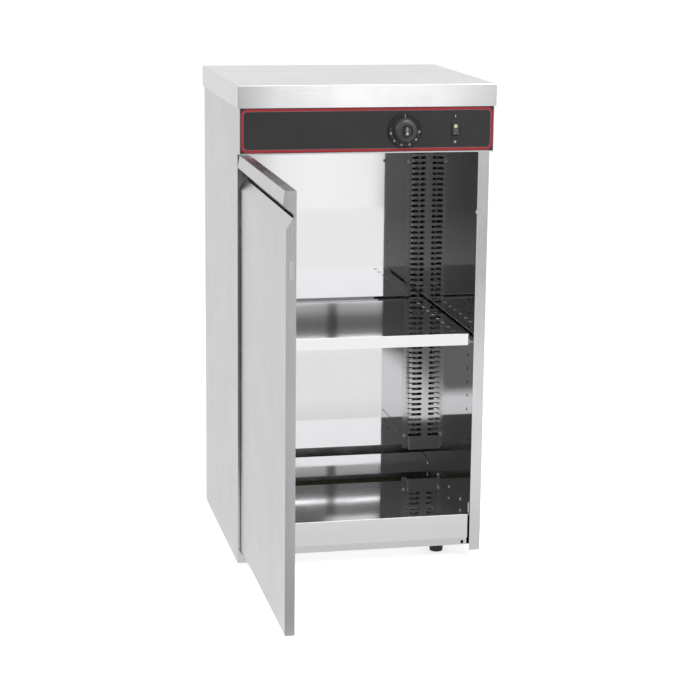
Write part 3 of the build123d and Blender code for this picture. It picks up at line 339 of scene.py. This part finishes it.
def film():
    """Dark printed polycarbonate film with a velvet texture."""
    made, tree, shader = new_material("overlay_film", IOR=1.46)
    velvet = noise(tree, (0.3 * MM,) * 3, detail=3)
    cloud = noise(tree, (70 * MM,) * 3, detail=3)
    colour = blend_colours(tree, spread(tree, cloud, 0, 1), (0.014, 0.0135, 0.0145),
                           (0.018, 0.0175, 0.0185))
    tree.links.new(colour, shader.inputs["Base Color"])
    tree.links.new(spread(tree, velvet, 0.38, 0.5), shader.inputs["Roughness"])
    bumps(tree, shader, (velvet, 0.012 * MM, 0.7))
    return made


def ink(name, tone, roughness=0.45):
    """Screen print, a little uneven in its cover."""
    made, tree, shader = new_material(name)
    cover = noise(tree, (1.5 * MM,) * 3, detail=4, roughness=0.7)
    thin = [0.86 * part for part in tone]
    tree.links.new(blend_colours(tree, spread(tree, cover, 0, 1, 0.4, 0.65), tone, thin),
                   shader.inputs["Base Color"])
    tree.links.new(spread(tree, cover, roughness - 0.05, roughness + 0.05), shader.inputs["Roughness"])
    bumps(tree, shader, (cover, 0.01 * MM, 0.5))
    return made


def wool():
    """Mineral wool board: matted fibres in yellow and brown."""
    made, tree, shader = new_material("mineral_wool", Roughness=0.95)
    fibres = noise(tree, (1.2 * MM, 1.2 * MM, 8 * MM), detail=6, roughness=0.75, distortion=1.5)
    lumps = noise(tree, (15 * MM,) * 3, detail=3)
    colour = blend_colours(tree, spread(tree, fibres, 0, 1), (0.36, 0.27, 0.12), (0.66, 0.56, 0.32))
    tree.links.new(colour, shader.inputs["Base Color"])
    bumps(tree, shader, (lumps, 3 * MM, 0.6), (fibres, 1.2 * MM, 0.9))
    return made


def heated():
    """Steel sheath of a heater, tanned by heat in bands."""
    made, tree, shader = new_material("heater_sheath", Metallic=1.0, Roughness=0.42)
    bands = noise(tree, (60 * MM, 60 * MM, 25 * MM), detail=3)
    fine = noise(tree, (0.8 * MM,) * 3, detail=4)
    colour = blend_colours(tree, spread(tree, bands, 0, 1), (0.30, 0.25, 0.20), (0.17, 0.15, 0.16))
    tree.links.new(colour, shader.inputs["Base Color"])
    bumps(tree, shader, (fine, 0.03 * MM, 0.6))
    return made


def lens():
    """Yellow-green neon lens: the lamp's core shows brighter than the lens round it."""
    made, tree, shader = new_material("neon_lens", Roughness=0.2, IOR=1.49, Emission_Strength=0.3)
    glow = spread(tree, from_middle(tree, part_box("switch_lens")), 1, 0, *lens_core)
    colour = blend_colours(tree, glow, (0.055, 0.055, 0.018), (0.62, 0.62, 0.34))
    ribs = noise(tree, (9 * MM, 9 * MM, 0.5 * MM), detail=0)
    tree.links.new(colour, shader.inputs["Base Color"])
    tree.links.new(colour, shader.inputs["Emission Color"])
    bumps(tree, shader, (ribs, 0.1 * MM, 0.7))
    return made


silver = (0.625, 0.625, 0.635)
mirror = (0.70, 0.70, 0.71)
upright = steel("side_steel", silver, 0.24, "Z")
door_steel = steel("door_steel", silver, 0.24, "Z", ripple=0.6)
lengthwise = steel("cap_steel", (0.72, 0.72, 0.725), 0.15, "X", ripple=0.5)
band_steel = steel("band_steel", silver, 0.24, "X")
liner_steel = steel("liner_steel", mirror, 0.03, "Z", grain=0.05, ripple=0.3, smudge=0.01, haze=0.025)
tray_steel = steel("tray_steel", mirror, 0.018, "X", grain=0.03, ripple=0.1, smudge=0.004, haze=0.035)
duct_steel = steel("duct_steel", mirror, 0.09, "Z", grain=0.2, ripple=0.1, smudge=0.02, haze=0.04)
galvanised = zinc_coated("galvanised_steel", (0.60, 0.62, 0.63))
zinc = plated("zinc_steel", (0.62, 0.62, 0.60), 0.3)
stud_metal = plated("stud_steel", (0.70, 0.70, 0.71), 0.2, spot=0.12)
bracket_metal = plated("bracket_steel", (0.56, 0.56, 0.57), 0.34)
chrome = plated("knob_metal", (0.58, 0.58, 0.59), 0.2, spot=0.1)
copper = plated("copper", (0.74, 0.42, 0.29), 0.25, spot=0.35)
aluminium = plated("anodised_aluminium", (0.66, 0.66, 0.67), 0.32, spot=0.08)
dark_plastic = moulded("switch_plastic", (0.016, 0.016, 0.017), 0.3)
rocker_plastic = moulded("rocker_plastic", (0.045, 0.045, 0.046), 0.25)
knob_plastic = knob_skin()
nylon = moulded("nylon", (0.74, 0.72, 0.66), 0.5)
magnet_grit = moulded("magnet", (0.05, 0.05, 0.055), 0.7, pebble=0.5 * MM, height=0.05 * MM)
rubber = moulded("foot_rubber", (0.018, 0.018, 0.018), 0.62, pebble=0.6 * MM, height=0.04 * MM,
                 dust=0.024)
overlay = film()
red_ink = ink("red_ink", (0.29, 0.010, 0.018))
black_ink = ink("black_ink", (0.008, 0.008, 0.008))
grey_ink = ink("grey_ink", (0.16, 0.15, 0.15))
pale_ink = ink("pale_ink", (0.60, 0.60, 0.58))
dial_ink = ink("dial_ink", (0.42, 0.42, 0.41))
# ink of the painted highlight on the knob's grip
grip_highlight_ink = ink("grip_highlight_ink", (0.22, 0.22, 0.22))

dressed = {
    lengthwise: ["top_cover"],
    upright: ["left_side_panel", "right_side_panel", "catch_striker"],
    door_steel: ["door_outer_skin", "door_inner_panel"],
    band_steel: ["control_fascia", "base_pan"],
    galvanised: ["back_panel"],
    liner_steel: ["left_liner", "right_liner", "back_liner", "ceiling_liner"],
    tray_steel: ["floor_tray", "shelf"],
    duct_steel: ["duct_cover_left", "duct_cover_right"],
    stud_metal: ["shelf_studs", "tray_rivets"],
    heated(): ["heater_left", "heater_right"],
    zinc: ["heater_clips", "duct_screws", "sensor_clips", "thermostat_shaft", "upper_hinge_pin",
           "hinge_screw", "foot_bolts", "foot_nuts", "back_screws"],
    bracket_metal: ["lower_hinge_bracket"],
    wool(): ["insulation_left", "insulation_right", "insulation_back", "door_insulation"],
    dark_plastic: ["thermostat_body", "switch_housing", "cord_bushing"],
    rocker_plastic: ["switch_rocker"],
    knob_plastic: ["control_knob"],
    chrome: ["knob_insert"],
    copper: ["thermostat_sensor"],
    nylon: ["door_bushes", "terminal_block"],
    magnet_grit: ["door_magnet"],
    aluminium: ["door_edge_plate"],
    lens(): ["switch_lens"],
    rubber: ["feet"],
    overlay: ["fascia_overlay"],
}
for finish, names in dressed.items():
    for name in names:
        nodes[name].data.materials.clear()
        nodes[name].data.materials.append(finish)


# ==== Printed pieces ==============================================================================
def mesh_piece(name, shape, finish, body):
    """Piece from a bmesh, riding on a body."""
    data = bpy.data.meshes.new(name)
    bmesh.ops.recalc_face_normals(shape, faces=shape.faces)
    shape.to_mesh(data)
    shape.free()
    data.materials.append(finish)
    made = bpy.data.objects.new(name, data)
    bpy.context.scene.collection.objects.link(made)
    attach(made, body)


def rounded_loop(low, high, radius, steps=10):
    """Points (x, z) round a rectangle with rounded corners, from the lower left one on."""
    points = []
    for x, z, start in ((low[0], low[1], pi), (high[0], low[1], 1.5 * pi), (high[0], high[1], 0),
                        (low[0], high[1], 0.5 * pi)):
        centre_x = x + radius if x == low[0] else x - radius
        centre_z = z + radius if z == low[1] else z - radius
        for step in range(steps + 1):
            angle = start + step / steps * pi / 2
            points.append((centre_x + radius * cos(angle), centre_z + radius * sin(angle)))
    return points


def printed_ring(name, outer, inner, back_y, finish):
    """Flat ring between two loops, raised print_depth in front of a face."""
    shape = bmesh.new()
    rows = []
    for loop in (outer, inner):
        for y in (back_y, back_y - print_depth):
            rows.append([shape.verts.new((x, y, z)) for x, z in loop])
    outer_back, outer_front, inner_back, inner_front = rows
    count = len(outer)
    for first, second in ((outer_front, inner_front), (outer_back, inner_back),
                          (outer_back, outer_front), (inner_back, inner_front)):
        for i in range(count):
            j = (i + 1) % count
            shape.faces.new((first[i], first[j], second[j], second[i]))
    mesh_piece(name, shape, finish, "cabinet")


def inset(low, high, dx, dz):
    """Corners of a rectangle moved inwards."""
    return (low[0] + dx, low[1] + dz), (high[0] - dx, high[1] - dz)


def print_panel(low, high):
    """Black edge, red line and fine grey line round the panel, from its edge inwards."""
    edge = (low.x, low.z), (high.x, high.z)
    line = inset(*edge, keyline_margin, keyline_margin)
    hair = inset(*line, keyline_side, keyline_flat)
    inner = inset(*hair, hairline, hairline)
    hair_corner = keyline_corner - keyline_side
    edge_loop = rounded_loop(*edge, panel_corner)
    line_loop = rounded_loop(*line, keyline_corner)
    hair_loop = rounded_loop(*hair, hair_corner)
    inner_loop = rounded_loop(*inner, hair_corner - hairline)
    printed_ring("panel_border", edge_loop, line_loop, low.y, black_ink)
    printed_ring("panel_keyline", line_loop, hair_loop, low.y, red_ink)
    printed_ring("panel_hairline", hair_loop, inner_loop, low.y, grey_ink)


def printed_text(name, words, x, y, z, height, turn, body, slot, finish, bold=0.03):
    """Printed figures, centred at x and z, on a face that looks towards -Y."""
    curve = bpy.data.curves.new(name, "FONT")
    curve.body = words
    curve.size = height / figure_share
    curve.align_x = "CENTER"
    curve.align_y = "CENTER"
    curve.extrude = print_depth / 2
    curve.offset = height * bold
    curve.resolution_u = 4
    text = bpy.data.objects.new(name, curve)
    bpy.context.scene.collection.objects.link(text)
    bpy.context.view_layer.update()
    data = bpy.data.meshes.new_from_object(text.evaluated_get(bpy.context.evaluated_depsgraph_get()))
    bpy.data.objects.remove(text)
    shape = bmesh.new()
    shape.from_mesh(data)
    bpy.data.meshes.remove(data)
    bmesh.ops.remove_doubles(shape, verts=shape.verts, dist=0.001 * MM)
    for vert in shape.verts:
        across, up = vert.co.x, vert.co.y
        vert.co = (x + across * cos(turn) - up * sin(turn), y - print_depth / 2 - vert.co.z,
                   z + across * sin(turn) + up * cos(turn))
    mesh_piece(name, shape, finish, body)


def printed_spot(name, x, y, z, reach, turn, body, slot, finish, sides=16):
    """Printed dot, or a tick where its two half lengths in reach differ."""
    shape = bmesh.new()
    rim = []
    for depth in (0, print_depth):
        ring = []
        for step in range(sides):
            angle = 2 * pi * step / sides
            across, up = reach[0] * cos(angle), reach[1] * sin(angle)
            ring.append(shape.verts.new((x + across * cos(turn) - up * sin(turn), y - depth,
                                         z + across * sin(turn) + up * cos(turn))))
        rim.append(ring)
        shape.faces.new(ring)
    for i in range(sides):
        j = (i + 1) % sides
        shape.faces.new((rim[0][i], rim[0][j], rim[1][j], rim[1][i]))
    mesh_piece(name, shape, finish, body)


def print_dial(low, high):
    """Pointer, numbers and dots on the knob's skirt, and a pale print on its grip that is a painted
    highlight.
    """
    x, z = (low.x + high.x) / 2, (low.z + high.z) / 2
    face = high.y - skirt_thickness
    tick = (tick_width / 2, tick_length / 2)
    grip_highlight_reach = (grip_highlight_width / 2, grip_highlight_length / 2)
    dot = (dot_radius, dot_radius)
    on_knob = ("knob", "knob_plastic")
    printed_spot("dial_pointer", x, face, z + number_ring, tick, 0, *on_knob, dial_ink)
    # pale print that stands for the sheen along the grip's ridge: a painted highlight
    printed_spot("painted_grip_highlight", x, low.y, z + grip_highlight_rise, grip_highlight_reach, 0, *on_knob, grip_highlight_ink)
    for count, word in enumerate(numbers):
        angle = radians(number_start + count * number_step)
        printed_text(f"dial_number_{word}", word, x + number_ring * cos(angle), face,
                     z + number_ring * sin(angle), number_height, angle - pi / 2, *on_knob, dial_ink)
        half = angle + radians(number_step) / 2
        printed_spot(f"dial_dot_{word}", x + number_ring * cos(half), face, z + number_ring * sin(half),
                     dot, 0, *on_knob, dial_ink)


def print_switch_marks(low, high, face):
    """Mark above and mark below the switch, on the panel."""
    x, z = (low.x + high.x) / 2, (low.z + high.z) / 2
    for name, word, gap in (("switch_mark_on", "I", switch_mark_gap),
                            ("switch_mark_off", "O", -switch_mark_gap)):
        printed_text(name, word, x, face, z + gap, switch_mark_height, 0, "cabinet", "overlay_film",
                     pale_ink, bold=switch_mark_bold)


panel_low, panel_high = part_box("fascia_overlay")
print_panel(panel_low, panel_high)
print_dial(*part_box("control_knob"))
print_switch_marks(*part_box("switch_housing"), panel_low.y)


# ==== Stage =======================================================================================
def flat_stage(name, corners, finish):
    """Flat face of the stage."""
    shape = bmesh.new()
    shape.faces.new([shape.verts.new(corner) for corner in corners])
    data = bpy.data.meshes.new(name)
    shape.to_mesh(data)
    shape.free()
    data.materials.append(finish)
    made = bpy.data.objects.new(name, data)
    bpy.context.scene.collection.objects.link(made)
    return made


def bare_material(name):
    """Material and its tree, with no nodes in it yet."""
    made = bpy.data.materials.new(name)
    made.use_nodes = True
    made.node_tree.nodes.clear()
    return made, made.node_tree


def mirrored_again(tree):
    """1 where the steel mirrors another mirror's picture, 0 where it mirrors a thing at once."""
    return spread(tree, add(tree, "ShaderNodeLightPath").outputs["Glossy Depth"], 0, 1, 1, 2)


def seen_directly(tree, rays):
    """1 for what the camera sees, also through glass."""
    return arithmetic(tree, "MAXIMUM", rays["Is Camera Ray"], rays["Is Transmission Ray"])


def floor_reflected(tree):
    """Brightness of the floor in the steel: a lit sweep with a dark studio to the front left."""
    place = axes(tree)
    x, y = place["X"], place["Y"]
    slanted = arithmetic(tree, "MULTIPLY_ADD", y, far_slant, x)
    level = spread(tree, slanted, *far_levels, *far_edge)
    for band_level, edge in floor_bands:
        level = mixed(tree, spread(tree, y, 0, 1, *edge), level, band_level)
    lean = spread(tree, y, dark_lean, 0, *dark_lean_edge)
    beside = spread(tree, arithmetic(tree, "SUBTRACT", x, lean), 0, 1, *dark_side)
    lit = arithmetic(tree, "MAXIMUM", beside, spread(tree, y, 0, 1, *dark_end))
    deep = spread(tree, x, *dark_deep_levels, *dark_deep_edge)
    level = mixed(tree, lit, mixed(tree, mirrored_again(tree), dark_level, deep), level)
    return mixed(tree, spread(tree, y, 0, 1, *behind_edge), level, behind_level)


def floor_paint():
    """Pale floor that keeps a shadow, shows as white and has its own brightness in the steel."""
    made, tree = bare_material("floor_paint")
    rays = add(tree, "ShaderNodeLightPath").outputs
    lift = arithmetic(tree, "MULTIPLY", seen_directly(tree, rays), floor_lift)
    glow = add(tree, "ShaderNodeEmission", {"Strength": lift}).outputs[0]
    tone = (floor_tone, floor_tone, floor_tone, 1)
    paint = add(tree, "ShaderNodeBsdfDiffuse", {"Color": tone}).outputs[0]
    plain = add(tree, "ShaderNodeAddShader", {0: glow, 1: paint}).outputs[0]
    mirrored = add(tree, "ShaderNodeEmission", {"Strength": floor_reflected(tree)}).outputs[0]
    either = add(tree, "ShaderNodeMixShader", {0: rays["Is Glossy Ray"], 1: plain, 2: mirrored})
    add(tree, "ShaderNodeOutputMaterial", {"Surface": either.outputs[0]})
    return made


def ramp(tree, place, stops):
    """Brightness that changes with a place: stops are (place, brightness), in order."""
    first, last = stops[0][0], stops[-1][0]
    top = max(level for stop, level in stops)
    made = add(tree, "ShaderNodeValToRGB", {"Fac": spread(tree, place, 0, 1, first, last)})
    for stop, level in stops[1:-1]:
        made.color_ramp.elements.new((stop - first) / (last - first))
    for element, (stop, level) in zip(made.color_ramp.elements, stops):
        element.color = (level / top, level / top, level / top, 1)
    return arithmetic(tree, "MULTIPLY", made.outputs["Color"], top)


def card(name, y, z, stops, rise=None, plain=card_whole):
    """Upright card in front of the cabinet that only the steel's reflections show.

    Steel that mirrors it at once sees it plain up to the edge plain, on X, and with its stops beyond.
    Steel that mirrors another mirror's picture of it sees all its stops.
    """
    paint, tree = bare_material(name + "_paint")
    place = axes(tree)
    level = ramp(tree, place["X"], stops)
    if rise:
        level = arithmetic(tree, "MULTIPLY", level, ramp(tree, place["Z"], rise))
    beyond = spread(tree, place["X"], 0, 1, *plain)
    patterned = arithmetic(tree, "MAXIMUM", mirrored_again(tree), beyond)
    glow = add(tree, "ShaderNodeEmission", {"Strength": mixed(tree, patterned, card_plain, level)})
    add(tree, "ShaderNodeOutputMaterial", {"Surface": glow.outputs[0]})
    left, right = stops[0][0], stops[-1][0]
    bottom, top = z
    corners = [(left, y, bottom), (right, y, bottom), (right, y, top), (left, y, top)]
    made = flat_stage(name, corners, paint)
    made.visible_camera = False
    made.visible_diffuse = False
    made.visible_shadow = False


def make_floor():
    """Round floor under the cabinet."""
    turns = [2 * pi * step / floor_sides for step in range(floor_sides)]
    rim = [(floor_radius * cos(turn), floor_radius * sin(turn), 0) for turn in turns]
    flat_stage("studio_floor", rim, floor_paint())


def make_cards():
    """The wall of cards, from the floor up."""
    card("low_card", card_y, low_card_z, low_card_stops, plain=card_left)
    card("high_card", card_y, high_card_z, high_card_stops, plain=card_left)
    card("rim_card", card_y, rim_card_z, rim_card_stops, rim_card_rise)
    card("glint_card", glint_card_y, glint_card_z, glint_card_stops)
    card("dark_card", dark_card_y, dark_card_z, dark_card_stops)


def make_lamp(name, place, aim, size, energy, mirrored):
    """Softbox; one that isn't mirrored leaves no patch in the steel."""
    light = bpy.data.lights.new(name, "AREA")
    light.shape = "RECTANGLE"
    light.size, light.size_y = size
    light.energy = energy
    made = bpy.data.objects.new(name, light)
    made.location = place
    made.rotation_euler = (Vector(aim) - Vector(place)).to_track_quat("-Z", "Y").to_euler()
    made.visible_glossy = mirrored
    bpy.context.scene.collection.objects.link(made)


def make_sky():
    """White backdrop that is dimmer as a lamp and in the steel."""
    world = bpy.data.worlds.new("studio")
    bpy.context.scene.world = world
    world.use_nodes = True
    tree = world.node_tree
    tree.nodes.clear()
    rays = add(tree, "ShaderNodeLightPath").outputs
    plain = mixed(tree, seen_directly(tree, rays), sky_light, 1.0)
    strength = mixed(tree, rays["Is Glossy Ray"], plain, sky_in_steel)
    backdrop = add(tree, "ShaderNodeBackground", {"Color": (1, 1, 1, 1), "Strength": strength})
    add(tree, "ShaderNodeOutputWorld", {"Surface": backdrop.outputs[0]})


def make_camera():
    """Camera at the photograph's viewing angle."""
    data = bpy.data.cameras.new("camera")
    data.lens = camera_lens
    data.sensor_width = camera_sensor
    data.sensor_fit = "HORIZONTAL"
    made = bpy.data.objects.new("camera", data)
    made.location = camera_place
    made.rotation_euler = camera_turn
    bpy.context.scene.collection.objects.link(made)
    bpy.context.scene.camera = made


make_floor()
make_cards()
for lamp in lamps:
    make_lamp(*lamp)
make_sky()
make_camera()
bpy.context.scene.view_settings.view_transform = "Standard"
